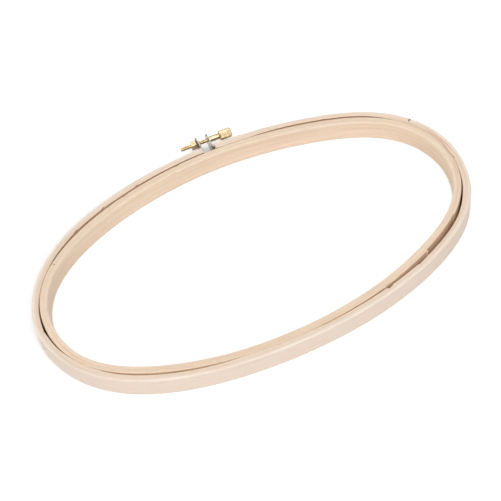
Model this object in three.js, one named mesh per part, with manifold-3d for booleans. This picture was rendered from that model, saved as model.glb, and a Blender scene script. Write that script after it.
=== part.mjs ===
// An oval wooden embroidery hoop of the common 9 by 5 inch size.
//
// A closed inner band of bent beech sits inside a split outer band. A plated steel bracket is riveted
// to each end of the outer band, and its ear stands out from the wood. A brass thumb screw runs through
// both ears into a square nut, and draws the ends together to grip the cloth between the bands.
//
// Millimetres, +Z up. The hoop lies flat: X runs along the oval, and the screw is on the +Y side.
import * as THREE from 'three';
import { mergeVertices } from 'three/addons/utils/BufferGeometryUtils.js';
import Module from 'manifold-3d';

const wasm = await Module();
wasm.setup();

// The oval: the outside of the inner band, which is the size that a hoop is sold by.
const hoopLength = 228.6;
const hoopWidth = 127;
const endFullness = 0.13; // how much fuller the oval's ends are than an ellipse's

// The two bands.
const bandHeight = 12.3;
const innerWall = 4;
const outerWall = 3.6;
const edgeRadius = 0.7;
const bandClearance = 0.15; // between the bands where they grip
const bandSteps = 144;

// Bent wood is never quite true. Each spot has its angle round the oval, its reach to each side and its
// lift outwards: of the inner band off the true oval, and of the outer band off the inner one.
const bends = [
  { at: 36, reach: 28, lift: 0.4 },
  { at: 60, reach: 36, lift: -0.45 },
  { at: 116, reach: 35, lift: 0.25 },
  { at: 182, reach: 28, lift: -0.5 },
  { at: 246, reach: 26, lift: 0.35 },
  { at: 310, reach: 26, lift: -0.5 },
];
const looseSpots = [
  { at: 53, reach: 32, lift: 0.4 },
  { at: 102, reach: 22, lift: 0.5 },
  { at: 128, reach: 30, lift: 1 },
  { at: 180, reach: 18, lift: 0.8 },
  { at: 229, reach: 29, lift: 0.9 },
  { at: 283, reach: 20, lift: 0.3 },
  { at: 313, reach: 40, lift: 2 },
  { at: 336, reach: 22, lift: 0.5 },
];

// The split in the outer band.
const splitWidth = 7.2;
const splitOffset = 5.6; // from the middle of the long side, towards +X

// The brackets: a strip of steel bent outwards, with its foot on the wood and its ear in the air.
const stripWidth = 7.2;
const stripThickness = 0.8;
const bendRadius = 0.8; // inside the bend
const footLength = 10.5; // from the end of the wood
const footCorner = 2; // radius of the two corners at the foot's end
const earOverhang = 1.2; // how far the ear stands past the end of the wood
const screwStandOff = 8.8; // from the outer band to the screw's axis
const seatGap = 0.15; // between pieces that bear on each other

// The rivets that hold each foot.
const rivetDiameter = 1.5;
const rivetHeadDiameter = 2.7;
const rivetHeadHeight = 0.65;
const rivetEdge = 2.6; // from the foot's end to the first rivet, and from the bend to the second
const rivetClearance = 0.1;

// The thumb screw and its nut.
const threadDiameter = 2.2;
const threadLength = 16.2; // from the shoulder to the tip
const tipChamfer = 0.35;
const shoulderDiameter = 3.3;
const shoulderLength = 6.2;
const headDiameter = 5.5;
const headLength = 7;
const headChamfer = 0.4;
const knurlCount = 28;
const knurlDepth = 0.18;
const slotWidth = 1;
const slotDepth = 1.3;
const screwClearance = 0.12; // round the thread, in the ears and in the nut
const nutWidth = 3.7;
const nutLength = 3.2;
const nutChamfer = 0.25;

// Facets: round a screw or a hole, up a rivet's dome, and across an edge's rounding.
const roundSteps = 24;
const domeSteps = 4;
const edgeSteps = 2;

const wood = new THREE.MeshStandardMaterial({ color: '#ecd3ba', roughness: 0.62, metalness: 0 });
const nickel = new THREE.MeshStandardMaterial({ color: '#c9c9cc', roughness: 0.25, metalness: 1 });
const brass = new THREE.MeshStandardMaterial({ color: '#d8bd7c', roughness: 0.28, metalness: 1 });

const degrees = THREE.MathUtils.degToRad;
const midHeight = bandHeight / 2;
const bendStart = earOverhang - stripThickness - bendRadius; // along the foot, from the end of the wood
const rivetPlaces = [rivetEdge - footLength, bendStart - rivetEdge];

// Solids: a closed three.js geometry goes in, and the joined or cut result comes back as one.
function solid(geometry) {
  const bare = geometry.index ? geometry.toNonIndexed() : geometry.clone();
  bare.deleteAttribute('normal');
  bare.deleteAttribute('uv');
  const merged = mergeVertices(bare, 1e-4);
  const mesh = new wasm.Mesh({
    numProp: 3,
    vertProperties: merged.attributes.position.array,
    triVerts: Uint32Array.from(merged.index.array),
  });
  return new wasm.Manifold(mesh);
}

function geometryOf(manifold) {
  const mesh = manifold.getMesh();
  const geometry = new THREE.BufferGeometry();
  geometry.setAttribute('position', new THREE.BufferAttribute(mesh.vertProperties, 3));
  geometry.setIndex(new THREE.BufferAttribute(mesh.triVerts, 1));
  geometry.computeVertexNormals();
  return geometry;
}

// A flat outline extruded to a height, centred on z = 0.
function plate(shape, height, edge = 0) {
  const geometry = new THREE.ExtrudeGeometry(shape, {
    depth: height - 2 * edge,
    bevelEnabled: edge > 0,
    bevelThickness: edge,
    bevelSize: edge,
    bevelOffset: -edge,
    bevelSegments: edgeSteps,
    curveSegments: roundSteps / 2,
  });
  return geometry.translate(0, 0, edge - height / 2);
}

// A round bar along Z, centred on z = 0.
function bar(diameter, length) {
  return new THREE.CylinderGeometry(diameter / 2, diameter / 2, length, roundSteps).rotateX(Math.PI / 2);
}

function mesh(name, geometry, material) {
  const piece = new THREE.Mesh(geometry, material);
  piece.name = name;
  return piece;
}

// The sum of the spots' lifts at an angle.
function liftAt(angle, spots) {
  const lifts = spots.map(({ at, reach, lift }) => {
    const apart = THREE.MathUtils.euclideanModulo(angle - at + 180, 360) - 180;
    const away = Math.min(1, Math.abs(apart) / reach);
    return (lift * (1 + Math.cos(Math.PI * away))) / 2;
  });
  return lifts.reduce((sum, lift) => sum + lift, 0);
}

// The true oval, with its offset outwards. An angle of 0 is the +X end and 90 the side with the screw.
function outward(angle) {
  const c = Math.cos(degrees(angle));
  const s = Math.sin(degrees(angle));
  const alongX = -hoopLength * s;
  const alongY = hoopWidth * c * (1 + endFullness * c ** 2 * (c ** 2 - 4 * s ** 2));
  return new THREE.Vector2(alongY, -alongX).normalize();
}

function ovalPoint(angle, offset) {
  const c = Math.cos(degrees(angle));
  const s = Math.sin(degrees(angle));
  const x = (hoopLength / 2) * c;
  const y = (hoopWidth / 2) * s * (1 + endFullness * c ** 4);
  return new THREE.Vector2(x, y).addScaledVector(outward(angle), offset);
}

// The angle at which the far side of the oval has the given X.
function angleAt(x) {
  return THREE.MathUtils.radToDeg(Math.acos((2 * x) / hoopLength));
}

// The faces where the bands meet, as offsets from the true oval.
function innerFace(angle) {
  return liftAt(angle, bends);
}

function outerFace(angle) {
  return innerFace(angle) + bandClearance + liftAt(angle, looseSpots);
}

// The outer band runs from the left side of the split, round the hoop, to the right side.
const leftEnd = angleAt(splitOffset - splitWidth / 2);
const rightEnd = angleAt(splitOffset + splitWidth / 2) + 360;

function innerRing() {
  const angles = Array.from({ length: bandSteps }, (_, i) => (360 * i) / bandSteps);
  const shape = new THREE.Shape(angles.map((angle) => ovalPoint(angle, innerFace(angle))));
  const hole = angles.map((angle) => ovalPoint(angle, innerFace(angle) - innerWall));
  shape.holes.push(new THREE.Path(hole));
  return plate(shape, bandHeight, edgeRadius).translate(0, 0, midHeight);
}

function outerRing(ends) {
  const span = (rightEnd - leftEnd) / bandSteps;
  const angles = Array.from({ length: bandSteps + 1 }, (_, i) => leftEnd + i * span);
  const outside = angles.map((angle) => ovalPoint(angle, outerFace(angle) + outerWall));
  const inside = angles.map((angle) => ovalPoint(angle, outerFace(angle)));
  const band = plate(new THREE.Shape([...outside, ...inside.reverse()]), bandHeight, edgeRadius);
  let piece = solid(band.translate(0, 0, midHeight));
  for (const end of ends) {
    for (const place of rivetPlaces) {
      const hole = bar(rivetDiameter + 2 * rivetClearance, 4 * outerWall);
      hole.rotateX(Math.PI / 2).translate(place, 0, 0).applyMatrix4(end.matrix);
      piece = piece.subtract(solid(hole));
    }
  }
  return geometryOf(piece);
}

// A group at one end of the outer band: origin on the wood's outer face at mid height, +X towards the
// split and +Y away from the wood. The right end is the left one turned over about +Y.
function bandEnd(angle, turnedOver) {
  const face = ovalPoint(angle, outerFace(angle) + outerWall);
  const normal = outward(angle);
  const group = new THREE.Group();
  group.position.set(face.x, face.y, midHeight);
  group.rotation.z = Math.atan2(normal.y, normal.x) - Math.PI / 2;
  if (turnedOver) {
    group.rotateY(Math.PI);
  }
  group.updateMatrix();
  return group;
}

// The strip seen along Z: a foot along the wood, a bend, and an ear that stands out.
function bracketProfile(earTip) {
  const bendY = seatGap + stripThickness + bendRadius;
  const shape = new THREE.Shape();
  shape.moveTo(-footLength, seatGap);
  shape.absarc(bendStart, bendY, bendRadius + stripThickness, -Math.PI / 2, 0, false);
  shape.lineTo(earOverhang, earTip);
  shape.lineTo(earOverhang - stripThickness, earTip);
  shape.absarc(bendStart, bendY, bendRadius, 0, -Math.PI / 2, true);
  shape.lineTo(-footLength, seatGap + stripThickness);
  return shape;
}

// The ear seen along X, round at its tip, with the screw's hole. The shape's x is up and its y outwards.
function earOutline() {
  const half = stripWidth / 2;
  const shape = new THREE.Shape();
  shape.moveTo(-half, 0);
  shape.lineTo(half, 0);
  shape.absarc(0, screwStandOff, half, 0, Math.PI, false);
  return shape;
}

// The foot seen from outside, with round corners at its end. The shape's x is along the wood, y up.
function footOutline() {
  const half = stripWidth / 2;
  const shape = new THREE.Shape();
  shape.moveTo(earOverhang, -half);
  shape.lineTo(earOverhang, half);
  shape.absarc(footCorner - footLength, half - footCorner, footCorner, Math.PI / 2, Math.PI, false);
  shape.absarc(footCorner - footLength, footCorner - half, footCorner, Math.PI, 1.5 * Math.PI, false);
  return shape;
}

function bracket() {
  const reach = screwStandOff + stripWidth;
  const strip = plate(bracketProfile(reach), stripWidth);
  // each outline is a prism that reaches past both faces of the strip
  const ear = plate(earOutline(), 2 * (footLength + earOverhang)).rotateY(-Math.PI / 2);
  const foot = plate(footOutline(), 2 * reach).rotateX(Math.PI / 2);
  const screwHole = bar(threadDiameter + 2 * screwClearance, 4 * stripThickness).rotateY(Math.PI / 2);
  screwHole.translate(earOverhang - stripThickness / 2, screwStandOff, 0);
  let piece = solid(strip).intersect(solid(ear)).intersect(solid(foot)).subtract(solid(screwHole));
  for (const place of rivetPlaces) {
    const hole = bar(rivetDiameter + 2 * rivetClearance, 6 * stripThickness).rotateX(Math.PI / 2);
    piece = piece.subtract(solid(hole.translate(place, seatGap + stripThickness / 2, 0)));
  }
  return geometryOf(piece);
}

// A domed rivet along +Y: its head bears on the foot, and its shank ends flush inside the wood.
function rivet() {
  const head = rivetHeadDiameter / 2;
  const shank = rivetDiameter / 2;
  const seat = seatGap + stripThickness + seatGap;
  const top = seat + rivetHeadHeight;
  const radius = (head ** 2 + rivetHeadHeight ** 2) / (2 * rivetHeadHeight); // of the dome
  const rim = Math.asin(head / radius);
  const dome = Array.from({ length: domeSteps }, (_, i) => {
    const tilt = rim * (1 - i / domeSteps);
    return new THREE.Vector2(radius * Math.sin(tilt), top - radius * (1 - Math.cos(tilt)));
  });
  const inside = -outerWall + seatGap;
  const profile = [
    new THREE.Vector2(0, inside),
    new THREE.Vector2(shank, inside),
    new THREE.Vector2(shank, seat),
    ...dome,
    new THREE.Vector2(0, top),
  ];
  return new THREE.LatheGeometry(profile, roundSteps / 2);
}

// A square nut along Z with its bore, centred on z = 0.
function squareNut() {
  const half = nutWidth / 2;
  const shape = new THREE.Shape();
  shape.moveTo(-half, -half).lineTo(half, -half).lineTo(half, half).lineTo(-half, half);
  const bore = bar(threadDiameter + 2 * screwClearance, 2 * nutLength);
  return geometryOf(solid(plate(shape, nutLength, nutChamfer)).subtract(solid(bore)));
}

// The head's outline: straight knurling, two points to a ridge.
function knurledOutline() {
  const points = Array.from({ length: 2 * knurlCount }, (_, i) => {
    const radius = headDiameter / 2 - (i % 2) * knurlDepth;
    const turn = (Math.PI * i) / knurlCount;
    return new THREE.Vector2(radius * Math.cos(turn), radius * Math.sin(turn));
  });
  return new THREE.Shape(points);
}

// The thumb screw along Z: its shoulder meets the thread at z = 0, with the head above it.
function thumbScrew() {
  const thread = threadDiameter / 2;
  const profile = [
    new THREE.Vector2(0, -threadLength),
    new THREE.Vector2(thread - tipChamfer, -threadLength),
    new THREE.Vector2(thread, -threadLength + tipChamfer),
    new THREE.Vector2(thread, 0),
    new THREE.Vector2(shoulderDiameter / 2, 0),
    new THREE.Vector2(shoulderDiameter / 2, shoulderLength + headLength / 2),
    new THREE.Vector2(0, shoulderLength + headLength / 2),
  ];
  const shaft = new THREE.LatheGeometry(profile, roundSteps).rotateX(Math.PI / 2);
  const head = plate(knurledOutline(), headLength, headChamfer);
  head.translate(0, 0, shoulderLength + headLength / 2);
  const slot = new THREE.BoxGeometry(slotWidth, 2 * headDiameter, 2 * slotDepth);
  slot.translate(0, 0, shoulderLength + headLength);
  return geometryOf(solid(shaft).add(solid(head)).subtract(solid(slot)));
}

function assemble() {
  const hoop = new THREE.Group();
  const left = bandEnd(leftEnd, false);
  const right = bandEnd(rightEnd, true);
  hoop.add(mesh('inner_ring', innerRing(), wood));
  hoop.add(mesh('outer_ring', outerRing([left, right]), wood));
  for (const [side, end] of [['left', left], ['right', right]]) {
    end.add(mesh(`${side}_bracket`, bracket(), nickel));
    rivetPlaces.forEach((place, i) => {
      const piece = mesh(`${side}_rivet_${i + 1}`, rivet(), nickel);
      piece.position.x = place;
      end.add(piece);
    });
    hoop.add(end);
  }

  // The screw's axis runs through the middle of both ears' holes, so it leans a little across them.
  const hole = new THREE.Vector3(earOverhang - stripThickness / 2, screwStandOff, 0);
  const leftHole = hole.clone().applyMatrix4(left.matrix);
  const rightHole = hole.clone().applyMatrix4(right.matrix);
  const axis = rightHole.clone().sub(leftHole);
  const along = axis.clone().normalize();
  const up = new THREE.Vector3(0, 0, 1);
  const screwLine = new THREE.Group();
  screwLine.position.copy(leftHole);
  screwLine.setRotationFromMatrix(new THREE.Matrix4().makeBasis(up.clone().cross(along), up, along));

  // A piece of this width that bears on an ear keeps the seat gap at its nearest edge.
  const seat = (end, width) => {
    const out = new THREE.Vector3(1, 0, 0).transformDirection(end.matrix);
    const lean = Math.acos(Math.abs(out.dot(along)));
    return stripThickness / 2 / Math.cos(lean) + seatGap + (width / 2) * Math.tan(lean);
  };
  const screw = mesh('thumb_screw', thumbScrew(), brass);
  screw.position.z = axis.length() + seat(right, shoulderDiameter);
  const nut = mesh('square_nut', squareNut(), brass);
  nut.position.z = -seat(left, nutWidth) - nutLength / 2;
  screwLine.add(screw, nut);
  hoop.add(screwLine);

  // The origin is under the middle of everything, on the surface that the hoop lies on.
  const box = new THREE.Box3().setFromObject(hoop, true);
  const middle = box.getCenter(new THREE.Vector3());
  hoop.position.set(-middle.x, -middle.y, -box.min.z);
  hoop.updateMatrixWorld(true);
  return hoop;
}

export default assemble();
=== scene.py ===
"""The looks of an oval embroidery hoop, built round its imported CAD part.

Every CAD node is replaced by a finer piece in the same place: two bands of beech with round edges, bent
steel brackets, domed rivets, a square nut, and a brass thumb screw with its thread, knurling and slot.
Shapes are written in millimetres, in the CAD part's own frame, and made into metres with each mesh.
"""

import itertools
import math

import bmesh
import bpy
import numpy as np
from mathutils import Matrix, Vector
from mathutils.geometry import tessellate_polygon


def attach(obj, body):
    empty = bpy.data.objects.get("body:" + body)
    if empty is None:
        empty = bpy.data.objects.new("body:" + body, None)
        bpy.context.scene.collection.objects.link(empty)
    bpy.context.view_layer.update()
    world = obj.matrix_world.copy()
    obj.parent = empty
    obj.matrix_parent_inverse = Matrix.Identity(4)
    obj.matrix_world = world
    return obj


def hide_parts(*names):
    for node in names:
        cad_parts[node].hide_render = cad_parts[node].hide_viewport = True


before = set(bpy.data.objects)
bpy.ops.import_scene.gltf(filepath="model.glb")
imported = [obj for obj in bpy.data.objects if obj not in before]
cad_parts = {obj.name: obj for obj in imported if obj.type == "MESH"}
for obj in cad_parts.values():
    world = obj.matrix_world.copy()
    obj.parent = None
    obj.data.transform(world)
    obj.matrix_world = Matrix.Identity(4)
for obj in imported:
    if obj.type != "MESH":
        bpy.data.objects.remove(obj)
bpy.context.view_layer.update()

MM = 0.001

# The oval and the two bands, as in the CAD part. A bend or a loose spot is the angle of its middle, how
# far it reaches each way in degrees, and how far it lifts the wood there.
HOOP_LENGTH = 228.6
HOOP_WIDTH = 127.0
END_FULLNESS = 0.13
BAND_HEIGHT = 12.3
INNER_WALL = 4.0
OUTER_WALL = 3.6
BAND_CLEARANCE = 0.15
BENDS = [
    (36, 28, 0.4), (60, 36, -0.45), (116, 35, 0.25),
    (182, 28, -0.5), (246, 26, 0.35), (310, 26, -0.5),
]
LOOSE_SPOTS = [
    (53, 32, 0.4), (102, 22, 0.5), (128, 30, 1.0), (180, 18, 0.8),
    (229, 29, 0.9), (283, 20, 0.3), (313, 40, 2.0), (336, 22, 0.5),
]
CENTRE = np.array([0.16197, -6.23527])  # the oval's centre, as the part's box puts it

# The width of the gap between the bands at each angle. It varies more finely than in the CAD part.
GAPS = [
    (0, 0.02), (30, 0.02), (34, 0.2), (38, 0.55), (44, 0.8), (64, 0.75), (70, 0.45), (77, 0.03), (83, 0.03),
    (86, 0.25), (90, 0.5), (96, 0.6), (104, 0.7), (112, 0.75), (118, 0.85), (124, 0.95), (128, 1.0),
    (132, 1.0), (136, 0.8), (140, 0.6), (144, 0.45), (148, 0.15), (152, 0.03), (164, 0.03), (168, 0.3),
    (172, 0.5), (176, 0.7), (180, 0.9), (184, 0.55), (188, 0.45), (192, 0.3), (196, 0.1), (199, 0.03),
    (208, 0.03), (212, 0.3), (216, 0.6), (220, 0.8), (224, 0.9), (236, 0.9), (240, 0.75), (244, 0.55),
    (248, 0.3), (252, 0.1), (255, 0.03), (268, 0.03), (272, 0.2), (276, 0.3), (280, 0.4), (284, 0.5),
    (288, 0.65), (291, 0.8), (294, 1.25), (300, 1.6), (304, 1.9), (308, 2.1), (316, 2.1), (320, 2.05),
    (324, 2.0), (328, 1.65), (332, 1.15), (336, 0.7), (340, 0.5), (344, 0.25), (347, 0.06), (350, 0.02),
    (360, 0.02),
]
GAP_EXTRA = 0.18  # added to an open gap
GAP_OPEN = 0.3  # the width from which all of that is added
GAP_SMOOTHING = (-2, -1, 0, 1, 2)  # degrees

# Marks that the saw left in the mating faces: from one angle to another, and how deep at each. Both
# ends are steps. A negative depth is a burr.
INNER_SCARS = [
    (97.0, 98.6, 0.55, 0.0), (114.0, 115.4, 0.6, 0.0), (226.3, 226.8, -0.6, -0.5),
    (291.4, 292.1, -0.2, -0.6), (308.6, 308.85, -0.9, -0.9), (308.9, 326.5, 0.5, 0.55),
]
OUTER_SCARS = [
    (53.2, 55.4, 0.3, 0.0), (109.0, 110.6, 0.55, 0.0), (121.0, 122.4, 0.65, 0.0),
    (132.0, 134.2, 0.6, 0.0), (179.6, 181.4, 0.25, 0.1), (292.2, 293.8, 0.9, 0.4),
    (303.4, 307.5, 0.45, 0.0), (355.7, 356.7, 0.5, 0.4),
]

# The radius of each band's outer top, inner top, inner bottom and outer bottom edge.
INNER_EDGES = (0.5, 0.7, 0.7, 0.5)
OUTER_EDGES = (0.75, 0.3, 0.5, 0.7)
END_EDGE = 0.3  # across the rounding at the ends of the split

# The split, the brackets and the rivets, as in the CAD part.
SPLIT_WIDTH = 7.2
SPLIT_OFFSET = 5.6
STRIP_WIDTH = 7.2
STRIP_THICKNESS = 0.8
BEND_RADIUS = 0.8
FOOT_LENGTH = 10.5
FOOT_CORNER = 2.0
EAR_OVERHANG = 1.2
SCREW_STAND_OFF = 8.8
RIVET_DIAMETER = 1.5
RIVET_HEAD = 2.7
RIVET_HEIGHT = 0.65
RIVET_EDGE = 2.6

# The screw and its nut, as in the CAD part.
THREAD_DIAMETER = 2.2
THREAD_LENGTH = 16.2
THREAD_PITCH = 0.4
SHOULDER_DIAMETER = 3.3
SHOULDER_LENGTH = 6.2
HEAD_DIAMETER = 5.5
HEAD_LENGTH = 7.0
KNURL_COUNT = 28
SLOT_WIDTH = 1.0
SLOT_DEPTH = 1.3
SLOT_TURN = 38  # degrees away from upright
NUT_WIDTH = 3.7
NUT_LENGTH = 3.2
SEAT_GAP = 0.03  # between pieces that bear on each other and move apart
BORE_RADIUS = THREAD_DIAMETER / 2 + 0.12  # in the ears and the nut
RIVET_HOLE_RADIUS = RIVET_DIAMETER / 2 + 0.05

# The finer forms of the metal pieces.
STRIP_ROUNDING = 0.14  # of a bracket's rims
SHANK_SET_BACK = 0.02  # of a rivet's end from the wood's inner face
SHANK_CHAMFER = 0.1
RIVET_RIM = [(0.06, 0), (0, 0.05)]  # in from the head's side, and up from its seat
DOME_SHARE = 0.97  # of the way from the dome's top to the rim, where its points end
THREAD_DEPTH = 0.12
THREAD_RUN_IN = 0.6  # how far the thread goes on inside the shoulder
TIP_CHAMFER = 0.35
SHOULDER_ROUNDING = [(0.15, 0), (0.04, 0.04), (0, 0.15)]  # in from its side, and up from its face
SHOULDER_FLARE = [(0, 0.35), (0.1, 0.12), (0.35, 0)]  # out from its side, and down from the head
NECK_TIP = 1  # how far the shoulder's end goes up inside the head
RIDGE_DEPTHS = [0.0, 0.03, 0.11, 0.2, 0.11, 0.03]  # across one ridge of the knurling
RIDGE_END_SHARE = 0.4  # of those depths is left at the head's ends
RIDGE_END = 0.5  # in from the head's side to where its ends begin
HEAD_ROUNDING = [  # in from its side, and up from its end
    (1.0, 0.0), (0.62, 0.0), (0.35, 0.12), (0.12, 0.35), (0.0, 0.62),
]
NUT_CORNER = 0.3
NUT_ROUNDING = [(0.28, 0), (0.098, 0.07), (0, 0.196)]  # in from its side, and up from its end
COUNTERSINK = 0.25
SLOT_REACH = 4  # how far the slot's tool goes each way from the head's middle

# How finely the meshes are divided.
BAND_SECTIONS = 900  # cross-sections round the hoop
SCAR_ROOM = 0.25  # degrees each way from a scar's step that are kept free of other sections
SCAR_SECTIONS = np.array([-0.16, -0.06, 0.06, 0.16])  # degrees from the step
EDGE_STEPS = 6  # across the rounding of a band's edge
TOP_STRIPS = 4  # across a band's top
FACE_STRIPS = 7  # up a band's face
BEND_STEPS = 12  # along a bracket's bend
RUNG_STEPS = 6  # across a bracket's bend
CORNER_POINTS = 9  # round a corner of a bracket's foot
EAR_POINTS = 33  # round an ear's tip
NUT_CORNER_POINTS = 5
BORE_AROUND = 40
RIVET_HOLE_AROUND = 24
RIVET_AROUND = 40
DOME_POINTS = 11  # from the rim to the top
NECK_AROUND = 64
THREAD_AROUND = 32
THREAD_ROWS = 8  # along one pitch
SAME_PLACE = 0.01  # across a band
SAME_POINT = 1e-7  # metres, for vertices that are merged


# The oval. Angles are in degrees and can be arrays: 0 is the +X end, 90 the side with the screw.

def lift_at(angle, spots):
    total = np.zeros_like(angle)
    for at, reach, lift in spots:
        apart = np.abs((angle - at + 180) % 360 - 180)
        total += lift * (1 + np.cos(np.pi * np.minimum(1, apart / reach))) / 2
    return total


def outward(angle):
    """The direction across the band, away from the oval's centre."""
    c, s = np.cos(np.radians(angle)), np.sin(np.radians(angle))
    along_x = -HOOP_LENGTH * s
    along_y = HOOP_WIDTH * c * (1 + END_FULLNESS * c**2 * (c**2 - 4 * s**2))
    size = np.hypot(along_x, along_y)
    return np.stack([along_y / size, -along_x / size], -1)


def oval_point(angle, offset):
    c, s = np.cos(np.radians(angle)), np.sin(np.radians(angle))
    x = HOOP_LENGTH / 2 * c
    y = HOOP_WIDTH / 2 * s * (1 + END_FULLNESS * c**4)
    return np.stack([x, y], -1) + outward(angle) * np.asarray(offset)[..., None] + CENTRE


def angle_at(x):
    return math.degrees(math.acos(2 * x / HOOP_LENGTH))


def inner_face(angle):
    """How far the inner band's outer face lies from the true oval."""
    return lift_at(angle, BENDS)


def outer_face(angle):
    """How far the outer band's inner face would lie from it, without the finer gap."""
    return inner_face(angle) + BAND_CLEARANCE + lift_at(angle, LOOSE_SPOTS)


def gap_width(angle):
    places, widths = np.array(GAPS, float).T
    near = [np.interp((angle + shift) % 360, places, widths) for shift in GAP_SMOOTHING]
    width = np.mean(near, axis=0)
    return width + GAP_EXTRA * np.minimum(1, width / GAP_OPEN)


def arc_lengths(angle):
    """How far along the wood each angle lies."""
    table = np.linspace(-180, 540, 14401)  # every twentieth of a degree
    points = oval_point(table, np.zeros_like(table))
    steps = np.linalg.norm(np.diff(points, axis=0), axis=1)
    return np.interp(angle, table, np.concatenate([[0], np.cumsum(steps)]))


LEFT_END = angle_at(SPLIT_OFFSET - SPLIT_WIDTH / 2)
RIGHT_END = angle_at(SPLIT_OFFSET + SPLIT_WIDTH / 2) + 360
INNER_START = -52  # where the inner band's grain begins and ends


# Making pieces

def add_object(name, data):
    obj = bpy.data.objects.new(name, data)
    bpy.context.scene.collection.objects.link(obj)
    return obj


def new_object(name, vertices, faces, grain=None, mating=None):
    """A smooth mesh. grain and mating are values at the faces' corners, for the wood's material."""
    mesh = bpy.data.meshes.new(name)
    mesh.from_pydata((np.asarray(vertices) * MM).tolist(), [], [list(map(int, f)) for f in faces])
    if grain is not None:
        layer = mesh.attributes.new("grain", "FLOAT_VECTOR", "CORNER")
        layer.data.foreach_set("vector", np.asarray(grain, np.float32).ravel())
        layer = mesh.attributes.new("mating", "FLOAT", "CORNER")
        layer.data.foreach_set("value", np.asarray(mating, np.float32))
    work = bmesh.new()
    work.from_mesh(mesh)
    bmesh.ops.remove_doubles(work, verts=work.verts, dist=SAME_POINT)
    bmesh.ops.recalc_face_normals(work, faces=work.faces)
    work.to_mesh(mesh)
    work.free()
    mesh.shade_smooth()
    return add_object(name, mesh)


def join(name, parts):
    work = bmesh.new()
    for part in parts:
        work.from_mesh(part.data)
        bpy.data.objects.remove(part)
    mesh = bpy.data.meshes.new(name)
    work.to_mesh(mesh)
    work.free()
    mesh.shade_smooth()
    return add_object(name, mesh)


def finish_piece(obj, material, body, slot, *nodes):
    obj.data.materials.clear()
    obj.data.materials.append(material)
    normals = obj.modifiers.new("even_shading", "WEIGHTED_NORMAL")
    normals.weight = 80
    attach(obj, body)
    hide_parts(*nodes)


def in_metres(matrix):
    return Matrix.Scale(MM, 4) @ matrix @ Matrix.Scale(1 / MM, 4)


def cut(obj, tool):
    """Cuts the tool's solid out of obj and removes the tool."""
    modifier = obj.modifiers.new("cut", "BOOLEAN")
    modifier.operation = "DIFFERENCE"
    modifier.solver = "EXACT"
    modifier.object = tool
    graph = bpy.context.evaluated_depsgraph_get()
    result = bpy.data.meshes.new_from_object(obj.evaluated_get(graph))
    obj.modifiers.clear()
    obj.data = result
    bpy.data.objects.remove(tool)


def ring_faces(first, second, count):
    """The faces between two rings of vertices, given the number of each ring's first vertex."""
    pairs = [(k, (k + 1) % count) for k in range(count)]
    return [[first + k, first + n, second + n, second + k] for k, n in pairs]


def both_ends(rows, length):
    """Rows of (distance in or out, height) at one end of a solid, then the same at its other end."""
    return rows + [(across, length - height) for across, height in reversed(rows)]


def cover(points, border, holes):
    """The faces that fill a flat border round its holes, all given as lists of vertex numbers."""
    rings = [border, *holes]
    numbers = [i for ring in rings for i in ring]
    flat = [[Vector((*points[i][:2], 0)) for i in ring] for ring in rings]
    return [[numbers[i] for i in triangle] for triangle in tessellate_polygon(flat)]


def arc(x, y, radius, count, start, end):
    """Points round part of a circle, both ends included."""
    turn = np.radians(np.linspace(start, end, count))
    return [(x + radius * math.cos(t), y + radius * math.sin(t)) for t in turn]


def circle(x, y, radius, count):
    return arc(x, y, radius, count + 1, 0, 360)[:-1]


def inset(loop, distance):
    """The loop moved to its left by a distance, point by point."""
    loop = np.array(loop)
    edge = np.roll(loop, -1, 0) - np.roll(loop, 1, 0)
    edge /= np.linalg.norm(edge, axis=1)[:, None]
    return loop + distance * np.stack([-edge[:, 1], edge[:, 0]], -1)


def lathe(name, profile, steps):
    """A turned solid: the profile is (radius, height) from one pole to the other."""
    turn = 2 * np.pi * np.arange(steps) / steps
    radius, height = np.array(profile, float).T
    vertices = np.stack([
        np.outer(radius, np.cos(turn)), np.outer(radius, np.sin(turn)), np.outer(height, np.ones(steps)),
    ], -1).reshape(-1, 3)
    faces = []
    for i in range(len(profile) - 1):
        faces += ring_faces(i * steps, (i + 1) * steps, steps)
    return new_object(name, vertices, faces)


# The wooden bands

def band_sections(inside, outside, edges):
    """A band's cross-sections, one for each place round the hoop, with round edges."""
    corners = (
        (outside, 1, BAND_HEIGHT, 1, 0), (inside, -1, BAND_HEIGHT, 1, 90),
        (inside, -1, 0, -1, 180), (outside, 1, 0, -1, 270),
    )
    rounds = []
    for (face, side, level, up, start), radius in zip(corners, edges):
        turn = np.radians(start + np.linspace(0, 90, EDGE_STEPS + 1))
        offset, height = face - side * radius, level - up * radius + 0 * face
        rounds.append([(offset + radius * math.cos(t), height + radius * math.sin(t)) for t in turn])
    loop = []
    for corner, points in enumerate(rounds):
        loop += points
        after = rounds[(corner + 1) % len(rounds)][0]
        strips = (TOP_STRIPS, FACE_STRIPS)[corner % 2]
        for k in range(1, strips):
            loop.append(tuple(a + (b - a) * k / strips for a, b in zip(points[-1], after)))
    offsets = np.stack([c[0] for c in loop], 1)
    heights = np.stack([c[1] for c in loop], 1)
    return offsets, heights


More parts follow.
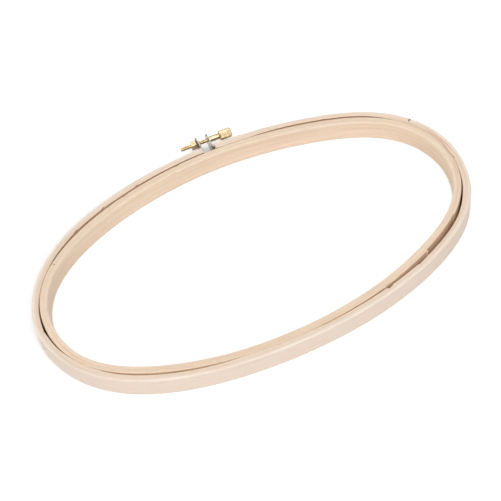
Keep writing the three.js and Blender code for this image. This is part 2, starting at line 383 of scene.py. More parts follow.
def sweep(name, angles, inside, outside, edges, closed, mating_face):
    """A band between two offsets from the true oval. Its grain attribute says how far each place is
    along the wood, in from its outer face, and up. Its mating attribute is 1 on the face that the other
    band presses on."""
    offsets, heights = band_sections(inside, outside, edges)
    count, size = offsets.shape
    flat = oval_point(np.repeat(angles, size), offsets.ravel()).reshape(count, size, 2)
    vertices = np.concatenate([flat, heights[..., None]], -1).reshape(-1, 3)
    depths = outside[:, None] - offsets
    meets = np.abs(offsets - mating_face[:, None]) < SAME_PLACE
    along = arc_lengths(angles)
    around = along[-1] + along[1] - along[0]
    faces, grain, mating = [], [], []
    for i in range(count if closed else count - 1):
        n = (i + 1) % count
        far = around if n == 0 else along[n]
        for j in range(size):
            k = (j + 1) % size
            faces.append([i * size + j, i * size + k, n * size + k, n * size + j])
            for s, q, p in ((along[i], i, j), (along[i], i, k), (far, n, k), (far, n, j)):
                grain.append((s, depths[q, p], heights[q, p]))
                mating.append(meets[q, p])
    if not closed:
        for i in (0, count - 1):
            faces.append([i * size + j for j in range(size)])
            grain += [(along[i], depths[i, j], heights[i, j]) for j in range(size)]
            mating += [0] * size
    return new_object(name, vertices, faces, grain, mating)


def ring_angles(start, end, scars, closed):
    """Places for cross-sections, with a pair on each side of a scar's step."""
    angles = np.linspace(start, end, BAND_SECTIONS, endpoint=not closed)
    for edge in (angle for scar in scars for angle in scar[:2]):
        step = start + (edge - start) % 360
        if start < step < end:
            angles = angles[np.abs(angles - step) > SCAR_ROOM]
            angles = np.concatenate([angles, step + SCAR_SECTIONS])
    return np.sort(angles)


def scar_depth(angle, scars):
    total = np.zeros_like(angle)
    for start, end, first, last in scars:
        along = ((angle - start + 180) % 360 - 180) / (end - start)
        total += np.where((along > 0) & (along < 1), first + (last - first) * along, 0)
    return total


def inner_band(material):
    angles = ring_angles(INNER_START, INNER_START + 360, INNER_SCARS, closed=True)
    outside = inner_face(angles) - scar_depth(angles, INNER_SCARS)
    inside = inner_face(angles) - INNER_WALL
    obj = sweep("inner_hoop_band", angles, inside, outside, INNER_EDGES, closed=True, mating_face=outside)
    finish_piece(obj, material, "inner_band", "inner_wood", "inner_ring")


def outer_band(material):
    angles = ring_angles(LEFT_END, RIGHT_END, OUTER_SCARS, closed=False)
    inside = inner_face(angles) + gap_width(angles) + scar_depth(angles, OUTER_SCARS)
    outside = outer_face(angles) + OUTER_WALL
    obj = sweep("outer_hoop_band", angles, inside, outside, OUTER_EDGES, closed=False, mating_face=inside)
    bevel = obj.modifiers.new("end_edges", "BEVEL")
    bevel.width = END_EDGE * MM
    bevel.segments = 3
    bevel.limit_method = "ANGLE"
    bevel.angle_limit = math.radians(60)
    finish_piece(obj, material, "outer_band", "outer_wood", "outer_ring")


# The brackets and their rivets

# A point of the strip is (along, across, through): along from the foot to the ear's tip, across upwards,
# and through from the face on the wood.
ARC_START = EAR_OVERHANG - STRIP_THICKNESS - BEND_RADIUS
ARC_LENGTH = (BEND_RADIUS + STRIP_THICKNESS / 2) * math.pi / 2
ARC_Y = STRIP_THICKNESS + BEND_RADIUS  # how far the bend's centre is from the wood
EAR_MIDDLE = ARC_START + ARC_LENGTH + SCREW_STAND_OFF - ARC_Y
RIVET_PLACES = [RIVET_EDGE - FOOT_LENGTH, ARC_START - RIVET_EDGE]

# Places along the strip's edges where its outline has points.
FOOT_STATIONS = [-6.5, -4.5, -2.5]
BEND_STATIONS = [ARC_START + ARC_LENGTH * k / BEND_STEPS for k in range(BEND_STEPS + 1)]
EAR_STATIONS = [4.0, 6.5]

DROP_ANGLES = np.linspace(0, 8, 41)  # from the end of the wood to past the foot


def end_matrix(angle, turned_over):
    """The frame of one end of the wood, in millimetres: x along the wood, y outwards, z upwards. The
    right end's is turned over."""
    angle = np.array(float(angle))
    face = oval_point(angle, outer_face(angle) + OUTER_WALL)
    normal = outward(angle)
    turn = math.atan2(normal[1], normal[0]) - math.pi / 2
    matrix = Matrix.Translation((*face, BAND_HEIGHT / 2)) @ Matrix.Rotation(turn, 4, "Z")
    if turned_over:
        matrix = matrix @ Matrix.Rotation(math.pi, 4, "Y")
    return matrix


def wood_drop(end, angle, turned_over):
    """How far the wood's outer face falls away behind the bracket, at each place along its foot."""
    angles = angle + DROP_ANGLES * (-1 if turned_over else 1)
    points = oval_point(angles, outer_face(angles) + OUTER_WALL)
    back = end.inverted()
    local = np.array([back @ Vector((x, y, BAND_HEIGHT / 2)) for x, y in points])
    order = np.argsort(local[:, 0])
    return lambda x: np.interp(x, local[order, 0], local[order, 1])


def bend(points, drop):
    """Strip points to places at the end of the wood."""
    placed = []
    for along, across, through in points:
        if along <= ARC_START:
            placed.append((along, through + float(drop(along)), across))
            continue
        turn = min(1, (along - ARC_START) / ARC_LENGTH) * math.pi / 2
        radius = BEND_RADIUS + STRIP_THICKNESS - through
        past = max(0, along - ARC_START - ARC_LENGTH)
        placed.append((ARC_START + radius * math.sin(turn), ARC_Y - radius * math.cos(turn) + past, across))
    return placed


def strip_loops():
    """The flat strip's outline, round at the foot's corners and the ear's tip, and its three holes: the
    screw's and the two rivets'."""
    half = STRIP_WIDTH / 2
    corner = FOOT_CORNER - FOOT_LENGTH
    edge = [*FOOT_STATIONS, *BEND_STATIONS, *EAR_STATIONS]
    outline = [
        *arc(corner, FOOT_CORNER - half, FOOT_CORNER, CORNER_POINTS, 180, 270),
        *[(u, -half) for u in edge],
        *arc(EAR_MIDDLE, 0, half, EAR_POINTS, -90, 90),
        *[(u, half) for u in reversed(edge)],
        *arc(corner, half - FOOT_CORNER, FOOT_CORNER, CORNER_POINTS, 90, 180),
    ]
    screw_hole = circle(EAR_MIDDLE, 0, BORE_RADIUS, BORE_AROUND)[::-1]
    rivet_holes = [circle(x, 0, RIVET_HOLE_RADIUS, RIVET_HOLE_AROUND)[::-1] for x in RIVET_PLACES]
    return [outline, screw_hole, *rivet_holes]


def strip_face(points, loops, starts, depth):
    """The faces of one side of the strip: the bend as rungs from edge to edge, and the foot and the ear
    round their holes. It adds the rungs' middle points."""
    border = list(range(starts[0], starts[0] + len(loops[0])))
    screw_hole, *rivet_holes = [
        list(range(start, start + len(loop))) for start, loop in zip(starts[1:], loops[1:])
    ]
    low = CORNER_POINTS + len(FOOT_STATIONS)
    high = len(border) - low - 1
    rungs = []
    for k in range(BEND_STEPS + 1):
        first, last = border[low + k], border[high - k]
        (u, low_edge), (_, high_edge) = points[first][:2], points[last][:2]
        middle = []
        for step in range(1, RUNG_STEPS):
            middle.append(len(points))
            points.append((u, low_edge + (high_edge - low_edge) * step / RUNG_STEPS, depth))
        rungs.append([first, *middle, last])
    faces = []
    for near, far in zip(rungs, rungs[1:]):
        faces += [[near[m], far[m], far[m + 1], near[m + 1]] for m in range(RUNG_STEPS)]
    foot = border[:low + 1] + rungs[0][1:] + border[high + 1:]
    ear = border[low + BEND_STEPS:high - BEND_STEPS + 1] + rungs[-1][1:-1][::-1]
    return faces + cover(points, foot, rivet_holes) + cover(points, ear, [screw_hole])


def bracket(name, end, drop, material, node):
    """A strip with round rims, bent between its foot and its ear."""
    loops = strip_loops()
    rim = [
        (STRIP_ROUNDING * (1 - math.sin(t)), STRIP_ROUNDING * (1 - math.cos(t)))
        for t in np.radians([0, 30, 60, 90])
    ]
    levels = both_ends(rim, STRIP_THICKNESS)
    points, faces, starts = [], [], []
    for gap, depth in levels:
        starts.append([])
        for loop in loops:
            starts[-1].append(len(points))
            points += [(u, v, depth) for u, v in inset(loop, gap)]
    for lower, upper in zip(starts, starts[1:]):
        for loop, first, second in zip(loops, lower, upper):
            faces += ring_faces(first, second, len(loop))
    for level in (0, -1):
        faces += strip_face(points, loops, starts[level], levels[level][1])
    obj = new_object(name, bend(points, drop), faces)
    obj.data.transform(in_metres(end))
    finish_piece(obj, material, "outer_band", "plated_steel", node)


def rivet(name, end, drop, x, material, node):
    """A domed rivet, whose head bears on the foot and whose shank shows on the wood's inner face."""
    head = RIVET_HEAD / 2
    shank = RIVET_DIAMETER / 2
    radius = (head**2 + RIVET_HEIGHT**2) / (2 * RIVET_HEIGHT)
    rim = math.asin(head / radius)
    dome = [
        (radius * math.sin(rim * t), RIVET_HEIGHT - radius * (1 - math.cos(rim * t)))
        for t in np.linspace(DOME_SHARE, 0.0, DOME_POINTS)
    ]
    tip = -OUTER_WALL - STRIP_THICKNESS + SHANK_SET_BACK
    profile = [
        (0, tip), (shank - SHANK_CHAMFER, tip), (shank, tip + SHANK_CHAMFER), (shank, 0),
        *[(head - inwards, height) for inwards, height in RIVET_RIM], *dome,
    ]
    obj = lathe(name, profile, RIVET_AROUND)
    seat = float(drop(x)) + STRIP_THICKNESS
    local = Matrix.Translation(Vector((x, seat, 0)) * MM) @ Matrix.Rotation(-math.pi / 2, 4, "X")
    obj.data.transform(in_metres(end) @ local)
    finish_piece(obj, material, "outer_band", "rivet_steel", node)


# The thumb screw and its nut, along Z with the shoulder's face at z = 0

def screw_thread():
    """A helical thread down to the tip, whose flat end closes over the last turn."""
    crest = THREAD_DIAMETER / 2
    root = crest - THREAD_DEPTH
    flank = (crest + root) / 2
    form = [crest, crest, crest, flank, root, root, flank, crest]
    rows = int((THREAD_LENGTH + THREAD_RUN_IN) / THREAD_PITCH + 3) * THREAD_ROWS
    vertices = []
    for i in range(rows + 1):
        for j in range(THREAD_AROUND):
            turn = 2 * math.pi * j / THREAD_AROUND
            z = THREAD_RUN_IN - THREAD_PITCH * (i / THREAD_ROWS + j / THREAD_AROUND) + THREAD_PITCH
            past = -THREAD_LENGTH - z
            radius = min(form[i % THREAD_ROWS], crest - TIP_CHAMFER + max(0.0, -past))
            if past > 0:
                radius = (crest - TIP_CHAMFER) * max(0.0, 1 - past / THREAD_PITCH)
                z = -THREAD_LENGTH
            vertices.append((radius * math.cos(turn), -radius * math.sin(turn), min(z, THREAD_RUN_IN)))

    def at(i, j):
        """One turn round is one pitch further along."""
        return (i + THREAD_ROWS * (j // THREAD_AROUND)) * THREAD_AROUND + j % THREAD_AROUND

    faces = []
    for i in range(rows - THREAD_ROWS):
        for j in range(THREAD_AROUND):
            faces.append([at(i, j), at(i + 1, j), at(i + 1, j + 1), at(i, j + 1)])
    return vertices, faces


def knurled_head():
    """The head from z = 0 upwards: straight ridges, round and shallower at both ends."""
    around = KNURL_COUNT * len(RIDGE_DEPTHS)
    vertices, faces, levels = [], [], []
    for inwards, z in both_ends(HEAD_ROUNDING, HEAD_LENGTH):
        levels.append(len(vertices))
        share = 1 if inwards < RIDGE_END else RIDGE_END_SHARE
        for k in range(around):
            turn = 2 * math.pi * k / around
            radius = HEAD_DIAMETER / 2 - RIDGE_DEPTHS[k % len(RIDGE_DEPTHS)] * share - inwards
            vertices.append((radius * math.cos(turn), radius * math.sin(turn), z))
    for first, second in zip(levels, levels[1:]):
        faces += ring_faces(first, second, around)
    faces.append([levels[0] + k for k in range(around)])
    faces.append([levels[-1] + k for k in range(around)])
    return vertices, faces


def cut_slot(head):
    half = SLOT_WIDTH / 2
    box = list(itertools.product((-half, half), (-SLOT_REACH, SLOT_REACH), (-SLOT_DEPTH, SLOT_DEPTH)))
    sides = [(0, 1, 3, 2), (4, 6, 7, 5), (0, 4, 5, 1), (2, 3, 7, 6), (0, 2, 6, 4), (1, 5, 7, 3)]
    tool = new_object("slot_tool", box, sides)
    turned = Matrix.Rotation(-math.radians(SLOT_TURN), 4, "Z")
    tool.data.transform(Matrix.Translation((0, 0, (SHOULDER_LENGTH + HEAD_LENGTH) * MM)) @ turned)
    cut(head, tool)


def thumb_screw(matrix, material):
    side = SHOULDER_DIAMETER / 2
    thread = new_object("thread", *screw_thread())
    neck = lathe("neck", [
        (0, 0),
        *[(side - inwards, up) for inwards, up in SHOULDER_ROUNDING],
        *[(side + outwards, SHOULDER_LENGTH - down) for outwards, down in SHOULDER_FLARE],
        (0, SHOULDER_LENGTH + NECK_TIP),
    ], NECK_AROUND)
    head = new_object("head", *knurled_head())
    head.data.transform(Matrix.Translation((0, 0, SHOULDER_LENGTH * MM)))
    cut_slot(head)
    whole = join("brass_thumb_screw", [thread, neck, head])
    whole.data.transform(matrix)
    finish_piece(whole, material, "screw", "brass", "thumb_screw")


def square_nut(matrix, material):
    middle = NUT_WIDTH / 2 - NUT_CORNER
    outline = []
    for x, y, start in ((1, 1, 0), (-1, 1, 90), (-1, -1, 180), (1, -1, 270)):
        outline += arc(x * middle, y * middle, NUT_CORNER, NUT_CORNER_POINTS, start, start + 90)
    bore = circle(0, 0, BORE_RADIUS, BORE_AROUND)
    sink = [(COUNTERSINK, 0), (0, COUNTERSINK), (0, COUNTERSINK)]
    rims, sinks = both_ends(NUT_ROUNDING, NUT_LENGTH), both_ends(sink, NUT_LENGTH)
    points, faces, outer, inner = [], [], [], []
    for (gap, z), (flare, deep) in zip(rims, sinks):
        outer.append(len(points))
        points += [(x, y, z) for x, y in inset(outline, gap)]
        inner.append(len(points))
        wider = 1 + flare / BORE_RADIUS
        points += [(x * wider, y * wider, deep) for x, y in bore]
    for starts, count in ((outer, len(outline)), (inner, len(bore))):
        for first, second in zip(starts, starts[1:]):
            faces += ring_faces(first, second, count)
    for level in (0, -1):
        border = list(range(outer[level], outer[level] + len(outline)))
        faces += cover(points, border, [list(range(inner[level], inner[level] + len(bore)))])
    obj = new_object("brass_square_nut", points, faces)
    obj.data.transform(matrix)
    finish_piece(obj, material, "nut", "brass", "square_nut")


def screw_matrices(left, right):
    """The frames of the screw, at its shoulder's face, and of the nut, at its outer face."""
    hole = Vector((EAR_OVERHANG - STRIP_THICKNESS / 2, SCREW_STAND_OFF, 0))
    start, finish = left @ hole, right @ hole
    along = (finish - start).normalized()
    up = Vector((0, 0, 1))
    turn = Matrix((up.cross(along), up, along)).transposed().to_4x4()

    def seat(end, width):
        """How far from the middle of an ear a piece of this width bears on it."""
        out = (end.to_3x3() @ Vector((1, 0, 0))).normalized()
        lean = math.acos(min(1, abs(out.dot(along))))
        return STRIP_THICKNESS / 2 / math.cos(lean) + SEAT_GAP + width / 2 * math.tan(lean)

    screw = start + along * ((finish - start).length + seat(right, SHOULDER_DIAMETER))
    nut = start - along * (seat(left, NUT_WIDTH) + NUT_LENGTH)
    return (Matrix.Translation(screw * MM) @ turn, Matrix.Translation(nut * MM) @ turn)


# Materials

def linear(value):
    """An sRGB value from 0 to 255 as a share of full light."""
    value /= 255
    return value / 12.92 if value <= 0.04045 else ((value + 0.055) / 1.055) ** 2.4


def srgb(red, green, blue):
    return (linear(red), linear(green), linear(blue), 1)


def grey(tone):
    return (tone, tone, tone, 1)


class Nodes:
    """A node tree under construction. A value is a number, a colour or another node's output."""

    def __init__(self, tree):
        self.tree = tree

    def node(self, kind, **settings):
        made = self.tree.nodes.new(kind)
        for key, value in settings.items():
            setattr(made, key, value)
        return made

    def link(self, source, target):
        self.tree.links.new(source, target)

    def feed(self, value, target):
        if isinstance(value, (int, float, tuple)):
            target.default_value = value
        else:
            self.link(value, target)

    def attribute(self, name, output="Fac"):
        return self.node("ShaderNodeAttribute", attribute_name=name).outputs[output]

    def split(self, vector):
        parts = self.node("ShaderNodeSeparateXYZ")
        self.link(vector, parts.inputs[0])
        return parts.outputs

    def scaled(self, vector, scale, location=(0, 0, 0)):
        mapping = self.node("ShaderNodeMapping")
        mapping.inputs["Scale"].default_value = scale
        mapping.inputs["Location"].default_value = location
        self.link(vector, mapping.inputs["Vector"])
        return mapping.outputs[0]

    def noise(self, vector, detail=2.0, roughness=0.5, distortion=0.0):
        made = self.node("ShaderNodeTexNoise")
        made.inputs["Scale"].default_value = 1.0
        made.inputs["Detail"].default_value = detail
        made.inputs["Roughness"].default_value = roughness
        made.inputs["Distortion"].default_value = distortion
        self.link(vector, made.inputs["Vector"])
        return made.outputs[0]

    def ramp(self, factor, stops):
        made = self.node("ShaderNodeValToRGB")
        elements = made.color_ramp.elements
        while len(elements) < len(stops):
            elements.new(0.5)
        for element, (position, colour) in zip(elements, stops):
            element.position = position
            element.color = colour
        self.link(factor, made.inputs[0])
        return made.outputs[0]

    def fade(self, value, none, full):
        """0 where the value is none, 1 where it is full, and a straight slope between."""
        return self.ramp(value, sorted([(none, grey(0.0)), (full, grey(1.0))]))

    def mix(self, factor, first, second, blend="MIX"):
        """Two colours mixed. A Mix node's sockets for colours are inputs 6 and 7 and output 2."""
        made = self.node("ShaderNodeMix", data_type="RGBA", blend_type=blend)
        for value, socket in ((factor, 0), (first, 6), (second, 7)):
            self.feed(value, made.inputs[socket])
        return made.outputs[2]

    def math(self, operation, first, second=0.0):
        made = self.node("ShaderNodeMath", operation=operation)
        for value, target in zip((first, second), made.inputs):
            self.feed(value, target)
        return made.outputs[0]

    def times(self, first, second):
        return self.math("MULTIPLY", first, second)

    def seen(self, otherwise=0.0):
        """1 for what the camera, a mirror or glass sees, and another value for what only lights."""
        path = self.node("ShaderNodeLightPath")
        value = otherwise
        for ray in ("Is Camera Ray", "Is Glossy Ray", "Is Transmission Ray"):
            value = self.math("MAXIMUM", path.outputs[ray], value)
        return value


class Shader(Nodes):
    """A material under construction, with a Principled surface."""

    def __init__(self, name):
        self.material = bpy.data.materials.new(name)
        self.material.use_nodes = True
        super().__init__(self.material.node_tree)
        self.tree.nodes.clear()
        self.output = self.node("ShaderNodeOutputMaterial")
        self.surface = self.node("ShaderNodeBsdfPrincipled")
        self.link(self.surface.outputs[0], self.output.inputs[0])

    def bump(self, height, strength, distance):
        made = self.node("ShaderNodeBump")
        made.inputs["Strength"].default_value = strength
        made.inputs["Distance"].default_value = distance
        self.link(height, made.inputs["Height"])
        self.link(made.outputs[0], self.surface.inputs["Normal"])


LINE_TONE = srgb(216, 174, 140)
# Raw wood on the mating face, made paler than the rest as painted light lower in the gap.
RAW_AND_GAP_LIGHT_TONE = srgb(252, 226, 197)
# The painted highlight along a rounded top edge; some pale marks use this colour too.
EDGE_HIGHLIGHT_TONE = srgb(252, 243, 231)
FLECK_TONE = srgb(176, 128, 88)
FIBRE_TONE = (0.84, 0.8, 0.77, 1)  # multiplies the wood's colour
MARK_HEIGHT = 2.0  # how far down from the top a mark fades out

# The two woods. The streaks run from pale to warm, face is the tone of the outer face, and the tone after
# it is painted shade along the mating face's upper edge, where the other band shades the gap. Between the
# two angles after that, if any, that face has neither this painted shade nor the paler raw tone that
# paints light lower in the gap. edge is a painted highlight along one top edge: the depths where it starts
# and ends, and its strength. A mark on the top is (angle, depth, half length, half width, strength,
# tone). first_angle is where the band's grain begins, and grain_start moves the grain's pattern.
INNER_BEECH = {
    "pale": srgb(245, 223, 200), "warm": srgb(231, 206, 179), "face": srgb(240, 217, 193),
    "gap_shade_tone": srgb(233, 196, 162), "unpainted_span": None, "edge": (2.8, 4.1, 0.3),
    "marks": [
        (147.8, 1.4, 0.5, 0.45, 0.9, srgb(140, 104, 84)),
        (2.7, 2.1, 10.0, 0.3, 0.8, EDGE_HIGHLIGHT_TONE),
        (0.6, 0.7, 6.0, 0.3, 0.8, srgb(204, 156, 130)),
        (-10.0, 1.2, 7.0, 0.25, 0.6, srgb(210, 166, 140)),
    ],
    "first_angle": INNER_START, "grain_start": (0, 0, 0),
}
OUTER_BEECH = {
    "pale": srgb(246, 227, 208), "warm": srgb(230, 208, 186), "face": srgb(235, 219, 204),
    "gap_shade_tone": srgb(148, 102, 66), "unpainted_span": (195, 345), "edge": (-0.1, 1.5, 0.55),
    "marks": [
        (23.1, 1.3, 0.6, 1.5, 0.85, srgb(92, 66, 62)),
        (21.4, 1.2, 1.6, 0.7, 0.6, EDGE_HIGHLIGHT_TONE),
        (8.8, 2.9, 9.0, 0.3, 0.85, srgb(198, 148, 122)),
        (3.5, 2.2, 7.0, 0.25, 0.75, srgb(204, 156, 130)),
        (14.0, 1.9, 8.0, 0.25, 0.55, srgb(210, 166, 140)),
        (-5.0, 1.6, 6.0, 0.25, 0.55, srgb(210, 166, 140)),
    ],
    "first_angle": LEFT_END, "grain_start": (31, 7, 5),
}


def wood(name, pale, warm, face, gap_shade_tone, unpainted_span, edge, marks, first_angle, grain_start):
    """Sanded beech: soft streaks and fine fibres along the band, short dark flecks, a paler outer face,
    a raw mating face that is paler lower down as painted light in the gap and has painted shade along its
    upper edge, and a painted highlight along one top edge."""
    shader = Shader(name)
    times, fade = shader.times, shader.fade
    grain = shader.attribute("grain", "Vector")
    along, depth, up = shader.split(grain)
    height = shader.math("DIVIDE", up, BAND_HEIGHT)

    def streaks(lengthwise, across, **settings):
        return shader.noise(shader.scaled(grain, (lengthwise, across, across), grain_start), **settings)

    def along_at(angle):
        return arc_lengths(angle + 360 * (angle < first_angle))

    broad = streaks(lengthwise=0.012, across=0.16)
    streak = streaks(lengthwise=0.018, across=1.1, detail=4, roughness=0.6, distortion=0.3)
    fibre = streaks(lengthwise=0.09, across=5.5, detail=3, roughness=0.6)
    line = streaks(lengthwise=0.03, across=2.4, distortion=0.2)
    fleck = streaks(lengthwise=0.42, across=5.0, detail=1)

    tone = shader.math("ADD", times(streak, 0.65), times(broad, 0.35))
    colour = shader.ramp(tone, [(0.36, pale), (0.62, warm)])
    colour = shader.mix(times(fade(depth, none=0.5, full=0.05), 0.8), colour, face)
    colour = shader.mix(times(fade(line, none=0.58, full=0.7), 0.4), colour, LINE_TONE)

    # A painted highlight along one rounded top edge, fading in and out across the edge and near the top.
    first, last, highlight_strength = edge
    reach = (last - first) / 2
    apart = shader.math("ABSOLUTE", shader.math("SUBTRACT", depth, (first + last) / 2))
    rim = times(fade(apart, none=reach, full=reach * 0.6), fade(height, none=0.93, full=0.97))
    rim = times(rim, fade(broad, none=0.4, full=0.55))
    colour = shader.mix(times(rim, highlight_strength), colour, EDGE_HIGHLIGHT_TONE)

    for angle, mark_depth, length, width, strength, mark_tone in marks:
        centre = (-along_at(angle) / length, -mark_depth / width, -BAND_HEIGHT / MARK_HEIGHT)
        offset = shader.scaled(grain, (1 / length, 1 / width, 1 / MARK_HEIGHT), centre)
        distance = shader.node("ShaderNodeVectorMath", operation="LENGTH")
        shader.link(offset, distance.inputs[0])
        spot = times(fade(distance.outputs["Value"], none=1.0, full=0.5), strength)
        colour = shader.mix(spot, colour, mark_tone)

    fine = shader.ramp(fibre, [(0.3, FIBRE_TONE), (0.62, grey(1))])
    colour = shader.mix(0.75, colour, fine, "MULTIPLY")
    colour = shader.mix(times(fade(fleck, none=0.66, full=0.74), 0.4), colour, FLECK_TONE)

    mating = shader.attribute("mating")
    # Between these angles the mating face has neither the painted light nor the painted shade below.
    if unpainted_span:
        unpainted_start, unpainted_end = map(along_at, unpainted_span)
        apart = shader.math("SUBTRACT", along, (unpainted_start + unpainted_end) / 2)
        apart = shader.math("DIVIDE", shader.math("ABSOLUTE", apart), (unpainted_end - unpainted_start) / 2)
        mating = times(mating, fade(times(apart, 0.5), none=0.5, full=0.6))
    # Raw wood and painted light: the mating face is paler below its top, lightening the shade deep in the
    # gap.
    raw_and_gap_light = times(mating, fade(height, none=0.985, full=0.94))
    colour = shader.mix(times(raw_and_gap_light, 0.75), colour, RAW_AND_GAP_LIGHT_TONE)
    # Painted shade: a darker strip just below the mating face's top, where the other band shades the gap.
    gap_shade_strip = times(fade(height, none=0.995, full=0.97), fade(height, none=0.9, full=0.94))
    colour = shader.mix(times(times(mating, gap_shade_strip), 0.85), colour, gap_shade_tone)

    shader.link(colour, shader.surface.inputs["Base Color"])
    shader.link(shader.math("ADD", times(fibre, 0.2), 0.42), shader.surface.inputs["Roughness"])
    shader.bump(fibre, strength=0.35, distance=0.06 * MM)
    return shader.material


NICKEL_PLATE = {
    "colour": srgb(186, 179, 168), "stain": srgb(132, 122, 110), "roughness": 0.16,
    "grain_scale": (900, 900, 4000),
}
DULL_STEEL = {
    "colour": srgb(180, 175, 167), "stain": srgb(138, 130, 120), "roughness": 0.24,
    "grain_scale": (2500, 2500, 2500),
}
BRASS = {
    "colour": srgb(234, 214, 180), "stain": srgb(204, 176, 130), "roughness": 0.13,
    "grain_scale": (2500, 2500, 2500),
}
STAIN_SCALE = (420, 420, 420)


def metal(name, colour, stain, roughness, grain_scale):
    """Polished metal with faint stains and a fine brushed bump."""
    shader = Shader(name)
    times = shader.times
    place = shader.node("ShaderNodeTexCoord").outputs["Object"]
    cloud = shader.noise(shader.scaled(place, STAIN_SCALE), detail=4, roughness=0.6)
    fine = shader.noise(shader.scaled(place, grain_scale))
    shader.link(shader.ramp(cloud, [(0.4, colour), (0.7, stain)]), shader.surface.inputs["Base Color"])
    shader.surface.inputs["Metallic"].default_value = 1.0
    shader.link(shader.math("ADD", times(cloud, 0.16), roughness), shader.surface.inputs["Roughness"])
    shader.bump(fine, strength=0.15, distance=0.01 * MM)
    return shader.material


def build():
    inner_wood = wood("inner_beech", **INNER_BEECH)
    outer_wood = wood("outer_beech", **OUTER_BEECH)
    steel = metal("nickel_plate", **NICKEL_PLATE)
    dull = metal("rivet_steel", **DULL_STEEL)
    brass = metal("brass", **BRASS)
    inner_band(inner_wood)
    outer_band(outer_wood)
    ends = []
    for side, angle, turned in (("left", LEFT_END, False), ("right", RIGHT_END, True)):
        end = end_matrix(angle, turned)
        drop = wood_drop(end, angle, turned)
        bracket(f"{side}_bent_bracket", end, drop, steel, f"{side}_bracket")
        for i, x in enumerate(RIVET_PLACES, 1):
            rivet(f"{side}_domed_rivet_{i}", end, drop, x, dull, f"{side}_rivet_{i}")
        ends.append(end)
    screw, nut = screw_matrices(*ends)
    thumb_screw(screw, brass)
    square_nut(nut, brass)


# The table, the light and the camera

# The table's rings inside and outside the hoop: how far out each one is from the outer face of the
# inner or of the outer band, and its glow. The outside rings say too how much less of it there is on the
# screw's side. A glow below 0 paints the table brown there, as painted shade under the gap between the
# bands.
INSIDE_RINGS = [(-20, 1), (-8, 1), (-4.6, 0.9), (-3.6, 0), (-0.6, 0), (0, -1)]
OUTSIDE_RINGS = [
    (-3, -1, 0), (-2, 0, 0), (-0.4, 0, 0), (0.6, 0.9, 0.9), (5, 1, 0.85), (9, 1, 0.7), (11, 1, 0.1),
    (14, 1, 0), (60, 1, 0), (400, 1.7, 0), (1000, 2.2, 0), (2500, 2.3, 0),
]
FLOOR_STEP = 2.0  # degrees round a ring
FLOOR_DROP = 0.02  # below the hoop's lower edge
FLOOR_GLOW = 0.42
FLOOR_COLOUR = grey(0.85)
# Painted shade: the brown under the gap between the bands.
GAP_SHADE_COLOUR = (0.3, 0.16, 0.08, 1)


def floor_mesh():
    """The flat table, which faces up, with the glow at each of its points."""
    angles = np.arange(0, 360, FLOOR_STEP)
    inner, outer = inner_face(angles), outer_face(angles) + OUTER_WALL
    behind = (1 + np.sin(np.radians(angles))) / 2
    rings = [(inner + offset, level + 0 * behind) for offset, level in INSIDE_RINGS]
    rings += [(outer + offset, level - less * behind) for offset, level, less in OUTSIDE_RINGS]
    count = len(angles)
    vertices, glow = [(*CENTRE, 0)], [1.0]
    for offsets, levels in rings:
        vertices += [(x, y, 0) for x, y in oval_point(angles, offsets)]
        glow += list(levels)
    faces = [(0, 1 + k, 1 + (k + 1) % count) for k in range(count)]
    for i in range(len(rings) - 1):
        faces += ring_faces(1 + (i + 1) * count, 1 + i * count, count)
    mesh = bpy.data.meshes.new("table")
    mesh.from_pydata((np.array(vertices) * MM).tolist(), [], faces)
    layer = mesh.attributes.new("glow", "FLOAT", "POINT")
    layer.data.foreach_set("value", np.array(glow, np.float32))
    return mesh


def floor():
    """A white table. Its glow, which the camera and mirrors see, stops under the bands, and under the gap
    between them the table is painted brown as shade."""
    mesh = floor_mesh()
    obj = add_object("table", mesh)
    obj.location.z = -FLOOR_DROP * MM
    shader = Shader("white_table")
    shader.surface.inputs["Roughness"].default_value = 0.9
    shader.surface.inputs["Specular IOR Level"].default_value = 0.2
    level = shader.attribute("glow")
    # Painted shade: brown where the glow is below 0, under the gap between the bands.
    floor_shade = shader.times(shader.math("MINIMUM", level, 0.0), -1.0)
    shader.link(shader.mix(floor_shade, FLOOR_COLOUR, GAP_SHADE_COLOUR), shader.surface.inputs["Base Color"])
    glow = shader.node("ShaderNodeEmission")
    strength = shader.times(shader.seen(), shader.math("MAXIMUM", level, 0.0))
    shader.link(shader.times(strength, FLOOR_GLOW), glow.inputs["Strength"])
    add = shader.node("ShaderNodeAddShader")
    shader.link(shader.surface.outputs[0], add.inputs[0])
    shader.link(glow.outputs[0], add.inputs[1])
    shader.link(add.outputs[0], shader.output.inputs[0])
    mesh.materials.append(shader.material)


ROOM_BRIGHTEST = (-0.15, -0.5, 0.85)  # the direction of the room's brightest part
ROOM_TONES = [(0.0, 0.1), (0.5, 0.15), (0.8, 1.08), (1.0, 1.08)]  # by the cosine of the angle from there
HORIZON_TONES = [(0.0, 1), (0.03, 1), (0.09, 0)]  # by the sine of the angle above the horizon
HORIZON_LIGHT = 0.5  # the share of the horizon that lights the hoop, and isn't only seen

# A softbox is its name, its direction, its distance, width and height in metres, and the light that it
# gives a surface which faces it.
SOFTBOXES = [
    ("key_softbox", (-0.1, -0.5, 0.8), 1.5, 0.9, 0.9, 0.3),
    ("left_softbox", (-0.85, -0.55, 0.45), 1.5, 0.8, 0.8, 0.09),
    ("back_softbox", (0.21, 0.56, 0.8), 0.8, 0.6, 0.35, 0.17),
    ("left_rim_softbox", (-0.6, 0.8, 0.15), 1.5, 0.8, 0.4, 0.17),
    ("right_rim_softbox", (0.6, 0.8, 0.15), 1.5, 0.8, 0.4, 0.17),
]


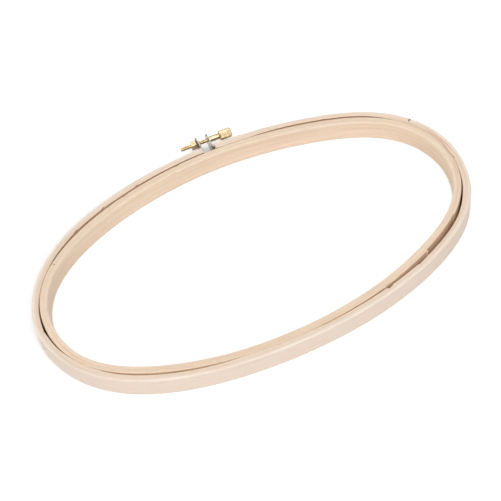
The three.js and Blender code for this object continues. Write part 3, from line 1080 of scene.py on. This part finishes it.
def room():
    """A pale horizon round a room that brightens upwards on the camera's side."""
    world = bpy.data.worlds.new("studio")
    world.use_nodes = True
    nodes = Nodes(world.node_tree)
    place = nodes.node("ShaderNodeTexCoord").outputs["Generated"]
    tilt = nodes.node("ShaderNodeVectorMath", operation="DOT_PRODUCT")
    tilt.inputs[1].default_value = Vector(ROOM_BRIGHTEST).normalized()
    nodes.link(place, tilt.inputs[0])
    walls = nodes.ramp(tilt.outputs["Value"], [(at, grey(tone)) for at, tone in ROOM_TONES])
    horizon = nodes.ramp(nodes.split(place)["Z"], [(at, grey(tone)) for at, tone in HORIZON_TONES])
    colour = nodes.mix(nodes.times(nodes.seen(HORIZON_LIGHT), horizon), walls, grey(1))
    nodes.link(colour, nodes.tree.nodes["Background"].inputs["Color"])
    bpy.context.scene.world = world


def softboxes():
    for name, towards, distance, width, height, level in SOFTBOXES:
        towards = Vector(towards).normalized()
        light = bpy.data.lights.new(name, "AREA")
        light.shape = "RECTANGLE"
        light.size, light.size_y = width, height
        light.energy = level * math.pi**2 * distance**2
        obj = add_object(name, light)
        obj.location = towards * distance
        obj.rotation_euler = (-towards).to_track_quat("-Z", "Y").to_euler()


# The photograph's camera, fitted to the oval. It is turned to the oval's centre.
PHOTO_SIZE = 501  # pixels, both ways
FOCAL_LENGTH = 1355.738  # pixels
LENS_CENTRE = (255.68, 251.663)  # pixels, from the photograph's upper left corner
CAMERA_DISTANCE = 696.094
CAMERA_ELEVATION = 53.508  # degrees
CAMERA_AZIMUTH = 20.291  # degrees
CAMERA_ROLL = 7.562  # degrees
SENSOR_WIDTH = 36


def camera():
    angles = [math.radians(angle) for angle in (CAMERA_ELEVATION, CAMERA_AZIMUTH, CAMERA_ROLL)]
    (sin_e, cos_e), (sin_a, cos_a), (sin_r, cos_r) = [(math.sin(t), math.cos(t)) for t in angles]
    across = Vector((cos_a, -sin_a, 0))
    upward = Vector((sin_a * sin_e, cos_a * sin_e, cos_e))
    back = Vector((-sin_a * cos_e, -cos_a * cos_e, sin_e))
    right = cos_r * across - sin_r * upward
    top = sin_r * across + cos_r * upward
    data = bpy.data.cameras.new("camera")
    data.sensor_width = SENSOR_WIDTH
    data.lens = FOCAL_LENGTH / PHOTO_SIZE * SENSOR_WIDTH
    data.shift_x = (PHOTO_SIZE / 2 - LENS_CENTRE[0]) / PHOTO_SIZE
    data.shift_y = (LENS_CENTRE[1] - PHOTO_SIZE / 2) / PHOTO_SIZE
    obj = add_object("camera", data)
    place = Vector((*CENTRE * MM, 0)) + back * (CAMERA_DISTANCE * MM)
    turn = Matrix((right, top, back)).transposed().to_4x4()
    obj.matrix_world = Matrix.Translation(place) @ turn
    bpy.context.scene.camera = obj


build()
floor()
room()
softboxes()
camera()
bpy.context.scene.view_settings.view_transform = "Standard"
